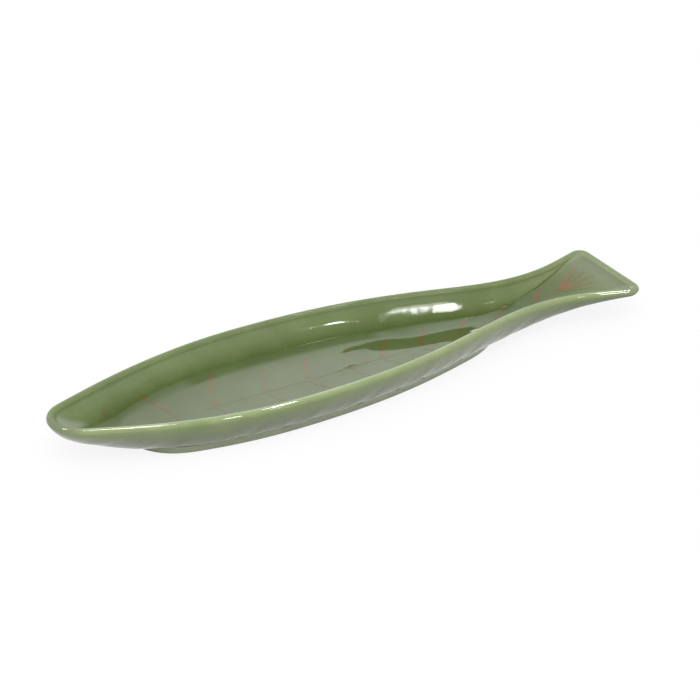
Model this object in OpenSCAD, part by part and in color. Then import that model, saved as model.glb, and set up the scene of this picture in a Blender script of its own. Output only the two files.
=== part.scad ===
// Fish shaped platter in glazed stoneware, with a raised oval foot and a brushed fish bone pattern.
// Lengths are in millimetres. The nose points to minus X, the tail to plus X and the bowl opens
// upwards. The origin is the middle of the platter's length and width, on the table.

/* [Platter] */
// Length from the nose to the tail edge
platter_len = 460; // [400:5:520]
// Width over the rim at the belly
belly_w = 115; // [100:1:140]
// Width over the rim at the waist in front of the tail
waist_w = 49.2; // [44:0.2:64]
// Width over the rim across the tail
tail_w = 80.8; // [66:0.2:100]
// Length over which the blunt nose rounds off
nose_round = 16.4; // [12:0.2:30]
// Radius of the two corners of the tail
tail_corner_r = 9; // [8:0.5:14]

/* [Rim] */
// Height of the rim above the table along the belly
rim_h = 32.6; // [28:0.1:45]
// Thickness of the rounded rim
rim_t = 6; // [4:0.1:7]
// Extra height of the rim at the nose
nose_lift = 2.6; // [0:0.1:6]
// Length from the nose over which the rim comes down to its belly height
nose_lift_len = 138; // [100:1:200]
// Loss of rim height at the tail edge
tail_drop = 2.5; // [0:0.1:5]
// Length before the tail edge over which the rim comes down
tail_drop_len = 161; // [120:1:200]

/* [Bowl] */
// Thickness of the floor
floor_t = 4.5; // [3:0.1:6]
// Rise of the edge of the floor above its middle line, where the floor is widest
floor_dish = 2.4; // [0:0.1:3.5]
// Distance from the inner edge of the rim in to the floor, seen from above
wall_run = 11.5; // [8:0.5:16]
// Bend of the inner wall, from a straight slope at 1 to a quarter of an ellipse at 2
inner_bend = 1.35; // [1.1:0.05:2]
// Bend of the outer wall, on the same measure
outer_bend = 1.3; // [1.1:0.05:2]
// How far the outer wall lands outside the edge of the floor
under_step = 2.5; // [1:0.1:4]
// Rise of the floor and the underside towards the tip of the nose
nose_rise = 21; // [10:0.5:22]
// Extra run of the inner wall at the nose
nose_in_run = 3; // [0:0.5:5]
// Extra run of the outer wall at the nose
nose_out_run = 9; // [5:0.5:10]
// Distance from the nose at which the extra run is still whole
nose_run_start = 35; // [25:1:45]
// Distance from the nose at which the extra run has gone
nose_run_end = 95; // [80:1:120]
// Depth of the tail floor below the rim at the tail edge
tail_lip = 0.8; // [0.8:0.1:3]
// How far ahead of the end of the foot the floor starts to climb into the tail
tail_heel = 13; // [5:1:25]

/* [Bowl edges] */
// Distance from the nose to the front of the floor
floor_nose_gap = 20; // [16:0.5:26]
// Length over which the front of the floor rounds off
floor_round = 34; // [20:1:50]
// Distance from the inner edge of the rim to the end of the floor in the tail
floor_tail_step = 1; // [0.8:0.1:3]
// Distance from the nose to the front of the underside
under_nose_gap = 17; // [14:0.5:19]
// Length over which the front of the underside rounds off
under_round = 50; // [30:1:70]
// Distance from the tail edge to the end of the underside
under_tail_gap = 3; // [2:0.1:4]

/* [Foot] */
// Height of the foot
foot_h = 5.4; // [4.6:0.1:9]
// Thickness of the foot ring
foot_t = 6; // [4:0.1:9]
// How far the foot stands in from the outer wall
foot_step = 0.8; // [0.6:0.1:5]
// Distance from the nose to the front of the foot
foot_nose_gap = 59; // [56:1:80]
// Distance from the end of the foot to the tail edge
foot_tail_gap = 111; // [104:1:140]
// Length over which each end of the foot rounds off
foot_round = 36; // [30:1:60]

/* [Painted strokes] */
// Thickness of the fired colour
stroke_t = 0.4; // [0.2:0.05:0.8]
// Film of clear glaze under the colour
stroke_gap = 0.15; // [0.12:0.01:0.25]
// Diameter of the eye
eye_d = 4.8; // [4:0.1:8]
// Distance from the nose to the eye
eye_x = 49; // [46:0.5:60]
// Distance from the eye to the inner edge of the rim
eye_rim_gap = 9.5; // [7:0.5:18]
// Width of the gill stroke
gill_w = 3.2; // [1.5:0.1:4.4]
// Distance from the nose to the middle of the gill stroke
gill_x = 94; // [85:1:110]
// How far the ends of the gill stroke curve forwards
gill_sweep = 17; // [8:1:22]
// Distance from each end of the gill stroke to the inner edge of the rim
gill_rim_gap = 5; // [4:0.5:14]
// Width of the spine
spine_w = 2.2; // [1:0.1:3]
// Distance from the nose to the front of the spine
spine_start = 114; // [106:0.5:120]
// Distance from the end of the spine, where the tail strokes fan out, to the tail edge
spine_tail_gap = 50; // [46:1:60]
// Width of a rib
rib_w = 3.4; // [1.5:0.1:4]
// Distance from the nose to the root of the first rib
first_rib_x = 124; // [118:1:140]
// Distance from the root of the last rib to the end of the spine
last_rib_gap = 20; // [16:1:50]
// How far the tip of a rib sweeps back from its root
rib_sweep = 15; // [5:1:20]
// Gap between the spine and the roots of the strokes beside and behind it
rib_gap = 0.4; // [0.2:0.1:2]
// Width of a stroke of the tail fan
fan_w = 2.4; // [1:0.1:2.6]
// Length of the longest stroke of the tail fan
fan_len = 34; // [20:1:36]
// Angle between the two outer strokes of the tail fan
fan_spread = 66; // [50:1:80]
// Gap between two neighbouring strokes of the tail fan at their roots
fan_gap = 0.2; // [0.1:0.05:0.5]

/* [Hidden] */
rim_r = rim_t / 2;
floor_base = foot_h + floor_t;
tail_floor = rim_h - tail_drop - tail_lip;
bowl_depth = rim_h - rim_r - floor_base;
body_depth = rim_h - rim_r - foot_h;
under_run = rim_t + wall_run - under_step;
foot_inset = under_run + foot_step;
belly_floor_w = belly_w / 2 - rim_t - wall_run;
floor_tail_gap = rim_t + floor_tail_step;
floor_corner_r = tail_corner_r - rim_t;
under_corner_r = tail_corner_r - under_tail_gap;
spine_end = platter_len - spine_tail_gap;
last_rib_x = spine_end - last_rib_gap;

// What each control point of the outline takes of the belly, waist and tail half widths,
// at even steps along the length, from one step before the nose to one step past the tail
outline_shares = [
    [-0.04, 0, 0], [0.264, 0, 0], [0.603, 0, 0], [0.851, 0, 0], [0.989, 0, 0],
    [1.004, 0, 0], [0.965, 0, 0], [0.843, 0, 0], [0.31, 0.737, 0],
    [0, 0.935, 0], [0, 1.01, 0], [0, 0, 1.088], [0, 0, 1.205]
];
spans = len(outline_shares) - 3;

// Part of the outline's length over which the front of an inner outline is moved back
nose_shift_share = 0.26;
// Least part of their full run that the inner and the outer wall keep in the tail
least_in_share = 0.03;
least_out_share = 0.1;
// Part of the depth left at the tail that the inner side of the lip may take
lip_share = 0.8;

// Power with which the floor rises from its middle line to its edge
dish_power = 4;
// Places of the points across half of the floor, as shares of its half width
floor_shares = [0.9, 0.78, 0.65, 0.5, 0.3];
row_shares = concat(floor_shares, [0], [for (i = [len(floor_shares) - 1 : -1 : 0]) -floor_shares[i]]);
row_len = len(row_shares);

// Place of each rib between the first and the last, as a share of the way
rib_place_shares = [0, 0.147, 0.274, 0.4, 0.508, 0.627, 0.752, 0.875, 1];
// How far each rib reaches towards the rim, as a share of the half width there
rib_reach_shares = [0.68, 0.51, 0.48, 0.52, 0.46, 0.49, 0.46, 0.5, 0.5];
rib_count = len(rib_reach_shares);
// Where a rib bends, as shares of its sweep and of its reach
rib_bend_shares = [0.3, 0.55];
// Length of each stroke of the tail fan, as a share of the longest one
fan_shares = [0.72, 0.86, 0.94, 0.86, 1];
fan_count = len(fan_shares);
fan_step = fan_spread / (fan_count - 1);
// Distance from the end of the spine at which the strokes of the fan clear each other
fan_root = (fan_w + fan_gap) / (2 * sin(fan_step / 2));
// Width left at the two ends of a stroke, as shares of its full width
root_share = 0.9;
tip_share = 0.35;

side_steps = 52;
corner_steps = 6;
edge_steps = len(floor_shares) + 1;
wall_steps = 8;
lip_steps = 10;
under_steps = 8;
foot_steps = 44;
stroke_steps = 8;
spine_steps = 56;
eye_steps = 20;

// Curves of one measure

function clamp(t) = min(max(t, 0), 1);
function ease(t) = let(c = clamp(t)) c * c * (3 - 2 * c);
function round_off(d, len) = sqrt(1 - pow(1 - clamp(d / len), 3));

function control_w(k) = outline_shares[k] * [belly_w, waist_w, tail_w] / 2;

// Half width of the rim's outer edge at x from the nose, as a smooth curve of third degree
function half_w(x) =
    let(
        s = spans * clamp(x / platter_len),
        k = min(floor(s), spans - 1),
        f = s - k
    )
    (
        pow(1 - f, 3) * control_w(k)
        + (3 * pow(f, 3) - 6 * pow(f, 2) + 4) * control_w(k + 1)
        + (-3 * pow(f, 3) + 3 * pow(f, 2) + 3 * f + 1) * control_w(k + 2)
        + pow(f, 3) * control_w(k + 3)
    ) / 6;

function rim_top(x) =
    rim_h
    + nose_lift * pow(clamp(1 - x / nose_lift_len), 2)
    - tail_drop * ease(1 - (platter_len - x) / tail_drop_len);

function nose_rise_z(x) = nose_rise * pow(clamp(1 - x / foot_nose_gap), 2);

function level_floor_z(x) =
    floor_base
    + (tail_floor - floor_base)
    * ease(1 - (platter_len - x) / (foot_tail_gap + tail_heel));

function level_under_z(x) =
    foot_h + (tail_floor - floor_t - foot_h) * ease(1 - (platter_len - x) / foot_tail_gap);

function floor_z(x) = level_floor_z(x) + nose_rise_z(x);
function under_z(x) = level_under_z(x) + nose_rise_z(x);

// Height of the inner side of the lip, which flattens where the tail floor comes up to the rim
function lip_v(x) = min(rim_r, lip_share * (rim_top(x) - floor_z(x)));

function nose_run(x) = ease((nose_run_end - x) / (nose_run_end - nose_run_start));

function in_share(x) = (rim_top(x) - lip_v(x) - level_floor_z(x)) / bowl_depth;
function out_share(x) = (rim_top(x) - rim_r - level_under_z(x)) / body_depth;

function floor_inset(x) =
    rim_t + wall_run * min(max(in_share(x), least_in_share), 1) + nose_in_run * nose_run(x);
function under_inset(x) =
    under_run * min(max(out_share(x), least_out_share), 1) + nose_out_run * nose_run(x);

// Half width of the floor
function floor_w(x) =
    (half_w(x) - floor_inset(x)) * round_off(x - floor_nose_gap, floor_round);

// Rise of the edge of the floor above its middle line
function edge_rise(x) = floor_dish * clamp(in_share(x)) * floor_w(x) / belly_floor_w;

// Fall of a wall at share q of its run, for a given bend
function wall_fall(q, bend) = pow(1 - pow(1 - clamp(q), bend), 1 / bend);

// Outlines seen from above

// Half of an outline, from the nose along the far side to the middle of the tail edge
function half_outline(nose_gap, tail_gap, inset, round_len, corner_r) =
    let(
        w = function(x) (half_w(x) - inset(x)) * round_off(x - nose_gap, round_len),
        edge_x = platter_len - tail_gap,
        arc_x = edge_x - corner_r,
        flare = atan2(w(arc_x) - w(arc_x - corner_r), corner_r),
        join_x = arc_x - corner_r * sin(flare),
        arc_y = w(join_x) - corner_r * cos(flare),
        side = [
            for (i = [0 : side_steps])
            let(
                t = i / side_steps,
                u = t * t * (2 - t),
                x = join_x * u + nose_gap * pow(clamp(1 - u / nose_shift_share), 2)
            )
            [x, w(x)]
        ],
        arc = [
            for (i = [1 : corner_steps])
            let(a = (90 + flare) * (1 - i / corner_steps))
            [arc_x + corner_r * cos(a), arc_y + corner_r * sin(a)]
        ],
        edge = [for (i = [1 : edge_steps]) [edge_x, arc_y * (1 - i / edge_steps)]]
    )
    concat(side, arc, edge);

// Whole outline, with the near side as the mirror image of the far side
function both_sides(half) =
    concat(half, [for (i = [len(half) - 2 : -1 : 1]) [half[i].x, -half[i].y]]);

function unit(v) = v / norm(v);

// Directions that point into the outline at each of its points
function inward(loop) =
    [
        for (i = [0 : len(loop) - 1])
        let(
            before = loop[(i + len(loop) - 1) % len(loop)],
            after = loop[(i + 1) % len(loop)],
            along = unit(unit(loop[i] - before) + unit(after - loop[i]))
        )
        [along.y, -along.x]
    ];

rim_loop = both_sides(half_outline(0, 0, function(x) 0, nose_round, tail_corner_r));
rim_inward = inward(rim_loop);
floor_loop = both_sides(half_outline(
    floor_nose_gap, floor_tail_gap, function(x) floor_inset(x), floor_round, floor_corner_r
));
under_loop = both_sides(half_outline(
    under_nose_gap, under_tail_gap, function(x) under_inset(x), under_round, under_corner_r
));
loop_len = len(rim_loop);
// Place in an outline of its last point before the straight tail edge
last_round = side_steps + corner_steps;

// Rings of the dish, from the edge of the floor over the lip to the edge of the underside

floor_ring = [for (p = floor_loop) [p.x, p.y, floor_z(p.x) + edge_rise(p.x)]];

function inner_wall_ring(a) =
    let(q = 1 - pow(cos(a), 2 / inner_bend), fall = pow(sin(a), 2 / inner_bend))
    [
        for (i = [0 : loop_len - 1])
        let(
            top = rim_loop[i] + rim_inward[i] * rim_t,
            top_z = rim_top(rim_loop[i].x) - lip_v(rim_loop[i].x),
            p = top + (floor_loop[i] - top) * q
        )
        [p.x, p.y, top_z + (floor_ring[i].z - top_z) * fall]
    ];

function lip_ring(a) =
    [
        for (i = [0 : loop_len - 1])
        let(
            x = rim_loop[i].x,
            v = a < 90 ? lip_v(x) : rim_r,
            p = rim_loop[i] + rim_inward[i] * rim_r * (1 + cos(a))
        )
        [p.x, p.y, rim_top(x) - v + v * sin(a)]
    ];

function outer_wall_ring(a) =
    let(q = 1 - pow(cos(a), 2 / outer_bend), fall = pow(sin(a), 2 / outer_bend))
    [
        for (i = [0 : loop_len - 1])
        let(
            top_z = rim_top(rim_loop[i].x) - rim_r,
            p = rim_loop[i] + (under_loop[i] - rim_loop[i]) * q
        )
        [p.x, p.y, top_z + (under_z(under_loop[i].x) - top_z) * fall]
    ];

dish_rings = concat(
    [floor_ring],
    [for (i = [wall_steps - 1 : -1 : 1]) inner_wall_ring(90 * i / wall_steps)],
    [for (i = [0 : lip_steps]) lip_ring(180 * i / lip_steps)],
    [for (i = [1 : under_steps]) outer_wall_ring(90 * i / under_steps)]
);

// Points inside the floor, in rows across it from the nose to the tail
floor_rows = [
    for (i = [1 : last_round - 1], share = row_shares)
    let(edge = floor_loop[i])
    [edge.x, edge.y * share, floor_z(edge.x) + edge_rise(edge.x) * pow(abs(share), dish_power)]
];

// Places of the points of one row with its two edge points, where first is the first inside point
function row_places(i, first) =
    i < last_round
    ? concat([i], [for (k = [0 : row_len - 1]) first + (i - 1) * row_len + k], [loop_len - i])
    : [for (k = [last_round : loop_len - last_round]) k];

// Faces that close the dished floor
function floor_faces(first) =
    let(rows = [for (i = [1 : last_round]) row_places(i, first)])
    concat(
        [for (c = [0 : row_len]) [0, rows[0][c], rows[0][c + 1]]],
        [
            for (i = [0 : last_round - 2], c = [0 : row_len])
            let(here = rows[i], next = rows[i + 1])
            each [[here[c], next[c], next[c + 1]], [here[c], next[c + 1], here[c + 1]]]
        ]
    );

// Faces between two neighbouring rings
function band_faces(first, second, n) =
    [
        for (i = [0 : n - 1])
        let(j = (i + 1) % n)
        each [[first + i, second + i, second + j], [first + i, second + j, first + j]]
    ];

// Faces that close an outline, as strips across it and a fan at its straight tail edge
function lid_faces(n, last) =
    concat(
        [[0, 1, n - 1]],
        [for (i = [1 : last - 2]) each [[i, i + 1, n - i - 1], [i, n - i - 1, n - i]]],
        [for (i = [last : n - last - 1]) [last - 1, i, i + 1]],
        [[last - 1, n - last, n - last + 1]]
    );

function turned(faces, shift) = [for (f = faces) [f[2] + shift, f[1] + shift, f[0] + shift]];

function placed(points) = [for (p = points) [p.x - platter_len / 2, p.y, p.z]];

module dish_body() {
    ring_count = len(dish_rings);
    color([0.5, 0.58, 0.38])
    polyhedron(
        points = placed(concat([for (ring = dish_rings) each ring], floor_rows)),
        faces = concat(
            floor_faces(ring_count * loop_len),
            [for (r = [0 : ring_count - 2]) each band_faces(r * loop_len, (r + 1) * loop_len, loop_len)],
            turned(lid_faces(loop_len, last_round), (ring_count - 1) * loop_len)
        )
    );
}

// Oval of the foot, drawn in by a given length on all sides
function foot_outline(inset) =
    let(
        front = foot_nose_gap + inset,
        back = platter_len - foot_tail_gap - inset,
        end_len = foot_round - inset
    )
    both_sides([
        for (i = [0 : foot_steps])
        let(x = front + (back - front) * (1 - cos(180 * i / foot_steps)) / 2)
        [
            x - platter_len / 2,
            (half_w(x) - foot_inset - inset) * round_off(x - front, end_len) * round_off(back - x, end_len)
        ]
    ]);

module foot_ring() {
    color([0.45, 0.5, 0.36])
    linear_extrude(foot_h)
    difference() {
        polygon(foot_outline(0));
        polygon(foot_outline(foot_t));
    }
}

// Painted strokes, which lie on the inside of the bowl

function rim_in_w(x) = half_w(x) * round_off(x, nose_round) - rim_t;

// Height of the inside of the bowl
function bowl_z(x, y) =
    let(
        edge = floor_w(x),
        rise = edge_rise(x),
        low = floor_z(x),
        high = rim_top(x) - lip_v(x),
        q = (rim_in_w(x) - abs(y)) / (rim_in_w(x) - edge)
    )
    abs(y) <= edge
    ? low + rise * pow(abs(y) / edge, dish_power)
    : high - (high - low - rise) * wall_fall(q, inner_bend);

// Point above or beside the inside of the bowl, at a given distance square to it
function on_bowl(p, lift) =
    let(
        h = stroke_t,
        up_x = bowl_z(p.x + h, p.y) - bowl_z(p.x - h, p.y),
        up_y = bowl_z(p.x, p.y + h) - bowl_z(p.x, p.y - h)
    )
    [p.x, p.y, bowl_z(p.x, p.y)] + lift * unit([-up_x, -up_y, 2 * h]);

function bezier(ends, t) = pow(1 - t, 2) * ends[0] + 2 * t * (1 - t) * ends[1] + t * t * ends[2];

// Width of a brush stroke along its length, full in its first half and drawn out at its tip
function brush(t) = root_share + (1 - root_share) * sin(180 * t) - (root_share - tip_share) * pow(t, 2);

// One ribbon through a row of points, with its width at each of them
module ribbon(path, widths) {
    last = len(path) - 1;
    corners = [
        for (i = [0 : last])
        let(
            along = unit(path[min(i + 1, last)] - path[max(i - 1, 0)]),
            side = [-along.y, along.x] * widths[i] / 2
        )
        each [
            on_bowl(path[i] - side, stroke_gap),
            on_bowl(path[i] + side, stroke_gap),
            on_bowl(path[i] + side, stroke_gap + stroke_t),
            on_bowl(path[i] - side, stroke_gap + stroke_t)
        ]
    ];
    color([0.55, 0.33, 0.22])
    polyhedron(
        points = placed(corners),
        faces = concat(
            [[0, 1, 2], [0, 2, 3]],
            [for (i = [0 : last - 1]) each band_faces(4 * i, 4 * i + 4, 4)],
            turned([[0, 1, 2], [0, 2, 3]], 4 * last)
        )
    );
}

module brush_stroke(ends, width) {
    shares = [for (i = [0 : stroke_steps]) i / stroke_steps];
    ribbon([for (t = shares) bezier(ends, t)], [for (t = shares) width * brush(t)]);
}

module eye_dot() {
    centre = [eye_x, rim_in_w(eye_x) - eye_rim_gap];
    round_points = [
        for (lift = [stroke_gap, stroke_gap + stroke_t], i = [0 : eye_steps - 1])
        on_bowl(centre + eye_d / 2 * [cos(360 * i / eye_steps), sin(360 * i / eye_steps)], lift)
    ];
    middles = [on_bowl(centre, stroke_gap), on_bowl(centre, stroke_gap + stroke_t)];
    color([0.55, 0.33, 0.22])
    polyhedron(
        points = placed(concat(round_points, middles)),
        faces = concat(
            [for (i = [0 : eye_steps - 1]) [2 * eye_steps, i, (i + 1) % eye_steps]],
            [for (i = [0 : eye_steps - 1])
                [2 * eye_steps + 1, eye_steps + (i + 1) % eye_steps, eye_steps + i]],
            band_faces(0, eye_steps, eye_steps)
        )
    );
}

module gill_stroke() {
    steps = 2 * stroke_steps;
    turns = [for (i = [-steps : steps]) i / steps];
    reach = rim_in_w(gill_x - gill_sweep) - gill_rim_gap;
    ribbon(
        [for (t = turns) [gill_x - gill_sweep * t * t, reach * t]],
        [for (t = turns) gill_w * brush(abs(t))]
    );
}

module spine_stroke() {
    shares = [for (i = [0 : spine_steps]) i / spine_steps];
    ribbon(
        [for (t = shares) [spine_start + (spine_end - spine_start) * t, 0]],
        [for (t = shares) spine_w * brush(t / 2)]
    );
}

// One pair of ribs, on the far and the near side of the spine
module rib_stroke(i) {
    root_x = first_rib_x + (last_rib_x - first_rib_x) * rib_place_shares[i - 1];
    tip_x = root_x + rib_sweep;
    tip_y = rib_reach_shares[i - 1] * half_w(tip_x);
    bend = [root_x + rib_sweep * rib_bend_shares.x, tip_y * rib_bend_shares.y];
    // The more a root leans back, the further its width stands it off the spine
    lean = unit(bend - [root_x, 0]).x;
    root_y = spine_w / 2 + rib_gap + rib_w / 2 * lean;
    for (side = [1, -1])
    brush_stroke(
        [[root_x, side * root_y], [bend.x, side * bend.y], [tip_x, side * tip_y]],
        rib_w
    );
}

// One stroke of the tail fan, counted from the near side to the far side; the middle one starts
// at the spine and the others where they clear it
module tail_stroke(i) {
    angle = fan_step * (i - 1) - fan_spread / 2;
    way = [cos(angle), sin(angle)];
    hub = [spine_end, 0];
    root = hub + way * (2 * i == fan_count + 1 ? rib_gap : fan_root);
    tip = hub + way * fan_len * fan_shares[i - 1];
    brush_stroke([root, (root + tip) / 2, tip], fan_w);
}

dish_body();
foot_ring();
eye_dot();
gill_stroke();
spine_stroke();
for (i = [1 : rib_count])
    rib_stroke(i);
for (i = [1 : fan_count])
    tail_stroke(i);
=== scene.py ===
import math

import bpy
import numpy as np
from mathutils import Matrix


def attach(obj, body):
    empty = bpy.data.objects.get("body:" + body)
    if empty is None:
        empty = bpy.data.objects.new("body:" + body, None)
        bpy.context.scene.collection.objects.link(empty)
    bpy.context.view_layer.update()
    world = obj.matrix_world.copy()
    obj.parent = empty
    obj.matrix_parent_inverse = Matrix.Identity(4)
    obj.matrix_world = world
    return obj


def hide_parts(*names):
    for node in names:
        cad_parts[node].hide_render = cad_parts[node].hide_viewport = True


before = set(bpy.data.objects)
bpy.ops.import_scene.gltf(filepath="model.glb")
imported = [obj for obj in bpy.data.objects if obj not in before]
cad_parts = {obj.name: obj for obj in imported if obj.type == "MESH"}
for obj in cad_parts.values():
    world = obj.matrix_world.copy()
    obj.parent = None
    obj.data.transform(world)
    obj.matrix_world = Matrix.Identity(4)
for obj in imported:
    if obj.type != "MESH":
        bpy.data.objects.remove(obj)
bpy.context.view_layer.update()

# A fish shaped platter of green glazed stoneware. The dish, its foot and its painted strokes are fine meshes
# that follow the formulas of the solid model. Lengths are in millimetres: x runs from the tip of the nose to
# the tail, y from the middle line to the far side, and z up from the table.

MM = 0.001

# Sizes of the platter, as in the solid model
PLATTER_LEN = 460.0
BELLY_W, WAIST_W, TAIL_W = 115.0, 49.2, 80.8
NOSE_ROUND, TAIL_CORNER_R = 16.4, 9.0
RIM_H, RIM_T = 32.6, 6.0
NOSE_LIFT, NOSE_LIFT_LEN = 2.6, 138.0
TAIL_DROP, TAIL_DROP_LEN = 2.5, 161.0
FLOOR_T, WALL_RUN, UNDER_STEP = 4.5, 11.5, 2.5
INNER_BEND, OUTER_BEND = 1.35, 1.3
NOSE_RISE, NOSE_IN_RUN, NOSE_OUT_RUN = 21.0, 3.0, 9.0
NOSE_RUN_START, NOSE_RUN_END = 35.0, 95.0
TAIL_LIP, TAIL_HEEL = 0.8, 13.0
LIP_SHARE = 0.8
MIN_IN_SHARE, MIN_OUT_SHARE = 0.03, 0.1
FLOOR_NOSE_GAP, FLOOR_ROUND, FLOOR_TAIL_STEP = 20.0, 34.0, 1.0
UNDER_NOSE_GAP, UNDER_ROUND, UNDER_TAIL_GAP = 17.0, 50.0, 3.0
FOOT_H, FOOT_T, FOOT_STEP = 5.4, 6.0, 0.8
FOOT_NOSE_GAP, FOOT_TAIL_GAP, FOOT_ROUND = 59.0, 111.0, 36.0

# Sizes of the painted strokes, as in the solid model
EYE_D, EYE_X, EYE_RIM_GAP = 4.8, 49.0, 9.5
GILL_W, GILL_X, GILL_SWEEP, GILL_RIM_GAP = 3.2, 94.0, 17.0, 5.0
SPINE_W, SPINE_START, SPINE_TAIL_GAP = 2.2, 114.0, 50.0
RIB_W, FIRST_RIB_X, LAST_RIB_GAP, RIB_SWEEP, RIB_GAP = 3.4, 124.0, 20.0, 15.0, 0.4
RIB_PLACE = [0, 0.147, 0.274, 0.4, 0.508, 0.627, 0.752, 0.875, 1]
RIB_REACH = [0.68, 0.51, 0.48, 0.52, 0.46, 0.49, 0.46, 0.5, 0.5]
RIB_BEND_X, RIB_BEND_Y = 0.3, 0.55
FAN_W, FAN_LEN, FAN_SPREAD, FAN_HUB = 2.4, 34.0, 66.0, 1.5
FAN_SHARES = [0.72, 0.86, 0.94, 0.86, 1.0]

# Strength of the painted colour
EYE_LOAD, SPINE_LOAD = 0.8, 0.42
RIB_LOAD = [0.66, 0.42, 0.85, 0.38, 0.66, 0.68, 0.58, 0.55, 0.82]
NEAR_RIB_SHARE = 0.6
FAN_LOAD = [0.6, 0.8, 1.1, 1.25, 1.5]

# Half widths that steer the outline from nose to tail, as shares of the belly, waist and tail widths
OUTLINE = np.array([
    [-0.04, 0, 0], [0.264, 0, 0], [0.603, 0, 0], [0.851, 0, 0], [0.989, 0, 0],
    [1.004, 0, 0], [0.965, 0, 0], [0.843, 0, 0], [0.31, 0.737, 0],
    [0, 0.935, 0], [0, 1.01, 0], [0, 0, 1.088], [0, 0, 1.205],
])
CONTROL_W = OUTLINE @ np.array([BELLY_W, WAIST_W, TAIL_W]) / 2
SPANS = len(CONTROL_W) - 3

RIM_R = RIM_T / 2
FLOOR_BASE = FOOT_H + FLOOR_T
TAIL_FLOOR = RIM_H - TAIL_DROP - TAIL_LIP
BOWL_DEPTH = RIM_H - RIM_R - FLOOR_BASE
BODY_DEPTH = RIM_H - RIM_R - FOOT_H
UNDER_RUN = RIM_T + WALL_RUN - UNDER_STEP
FOOT_INSET = UNDER_RUN + FOOT_STEP
SPINE_END = PLATTER_LEN - SPINE_TAIL_GAP

# Steps of the meshes
SIDE_STEPS, CORNER_STEPS, EDGE_STEPS = 300, 14, 16
WALL_STEPS, LIP_STEPS, UNDER_STEPS = 22, 28, 20
FOOT_STEPS, FOOT_HOLLOW_POINTS, FOOT_ROUND_POINTS = 120, 9, 7
STROKE_POINTS, GILL_POINTS, SPINE_POINTS, EYE_POINTS = 44, 90, 330, 40

# Angles from which an edge is sharp
DISH_SHARP_DEG, FOOT_SHARP_DEG, FILM_SHARP_DEG = 75, 50, 40


# Curves of one measure

def clamp(t):
    return np.clip(t, 0.0, 1.0)


def ease(t):
    c = clamp(t)
    return c * c * (3 - 2 * c)


def fade(x, start, length):
    """Soft step from 0 at start to 1 at start + length; a length below zero puts the 1 before start."""
    return ease((x - start) / length)


def bell(x, middle, reach, power=2):
    """1 at the middle, and soft down to almost 0 beyond the reach on both sides."""
    return np.exp(-((x - middle) / reach) ** power)


def sines(t, rows):
    """Sum of sine waves, each a row of height, turn and phase."""
    return sum(height * np.sin(turn * t + phase) for height, turn, phase in rows)


def round_off(d, length):
    return np.sqrt(1 - (1 - clamp(d / length)) ** 3)


def half_w(x):
    s = SPANS * clamp(np.asarray(x, float) / PLATTER_LEN)
    k = np.minimum(np.floor(s), SPANS - 1).astype(int)
    f = s - k
    return (
        (1 - f) ** 3 * CONTROL_W[k]
        + (3 * f ** 3 - 6 * f ** 2 + 4) * CONTROL_W[k + 1]
        + (-3 * f ** 3 + 3 * f ** 2 + 3 * f + 1) * CONTROL_W[k + 2]
        + f ** 3 * CONTROL_W[k + 3]
    ) / 6


def rim_top(x):
    return (
        RIM_H
        + NOSE_LIFT * clamp(1 - x / NOSE_LIFT_LEN) ** 2
        - TAIL_DROP * ease(1 - (PLATTER_LEN - x) / TAIL_DROP_LEN)
    )


def nose_rise_z(x):
    return NOSE_RISE * clamp(1 - x / FOOT_NOSE_GAP) ** 2


def level_floor_z(x):
    rise = ease(1 - (PLATTER_LEN - x) / (FOOT_TAIL_GAP + TAIL_HEEL))
    return FLOOR_BASE + (TAIL_FLOOR - FLOOR_BASE) * rise


def level_under_z(x):
    rise = ease(1 - (PLATTER_LEN - x) / FOOT_TAIL_GAP)
    return FOOT_H + (TAIL_FLOOR - FLOOR_T - FOOT_H) * rise


def floor_z(x):
    return level_floor_z(x) + nose_rise_z(x)


def under_z(x):
    return level_under_z(x) + nose_rise_z(x)


def lip_v(x):
    return np.minimum(RIM_R, LIP_SHARE * (rim_top(x) - floor_z(x)))


def nose_run(x):
    return ease((NOSE_RUN_END - x) / (NOSE_RUN_END - NOSE_RUN_START))


def in_share(x):
    return (rim_top(x) - lip_v(x) - level_floor_z(x)) / BOWL_DEPTH


def out_share(x):
    return (rim_top(x) - RIM_R - level_under_z(x)) / BODY_DEPTH


def floor_inset(x):
    return RIM_T + WALL_RUN * np.clip(in_share(x), MIN_IN_SHARE, 1) + NOSE_IN_RUN * nose_run(x)


def under_inset(x):
    return UNDER_RUN * np.clip(out_share(x), MIN_OUT_SHARE, 1) + NOSE_OUT_RUN * nose_run(x)


def wall_fall(q, bend):
    return (1 - (1 - clamp(q)) ** bend) ** (1 / bend)


def rim_in_w(x):
    return half_w(x) * round_off(x, NOSE_ROUND) - RIM_T


def floor_w(x):
    return (half_w(x) - floor_inset(x)) * round_off(x - FLOOR_NOSE_GAP, FLOOR_ROUND)


# Soft forms of the floor that only the fine mesh has. A pair is the start and length of a soft step along x.

ERFC = np.vectorize(math.erfc, otypes=[float])
ERFC_END = 6

# Hollow corner between floor and wall: its slope at the fold and its reach over the floor, in a narrow part
# that runs all round and a wide part that ends before the rear
NARROW_SLOPE, NARROW_SLOPE_GAIN, NARROW_SLOPE_STEP = 0.30, 0.02, (262, 35)
NARROW_REACH = 8.0
BELLY_REACH_GAIN, BELLY_REACH_STEP, BELLY_REACH_END = 5.0, (50, 40), (120, 70)
REAR_REACH_GAIN, REAR_REACH_STEP = 4.5, (255, 45)
WIDE_SLOPE, WIDE_SLOPE_END, WIDE_REACH = 0.13, (238, 46), 18.0

# Half width of the floor below which the corner flattens out, and how fast the waves' height grows with the
# height of the wall
SLOPE_FLOOR_W, CALM_GAIN = 12, 2

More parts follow.
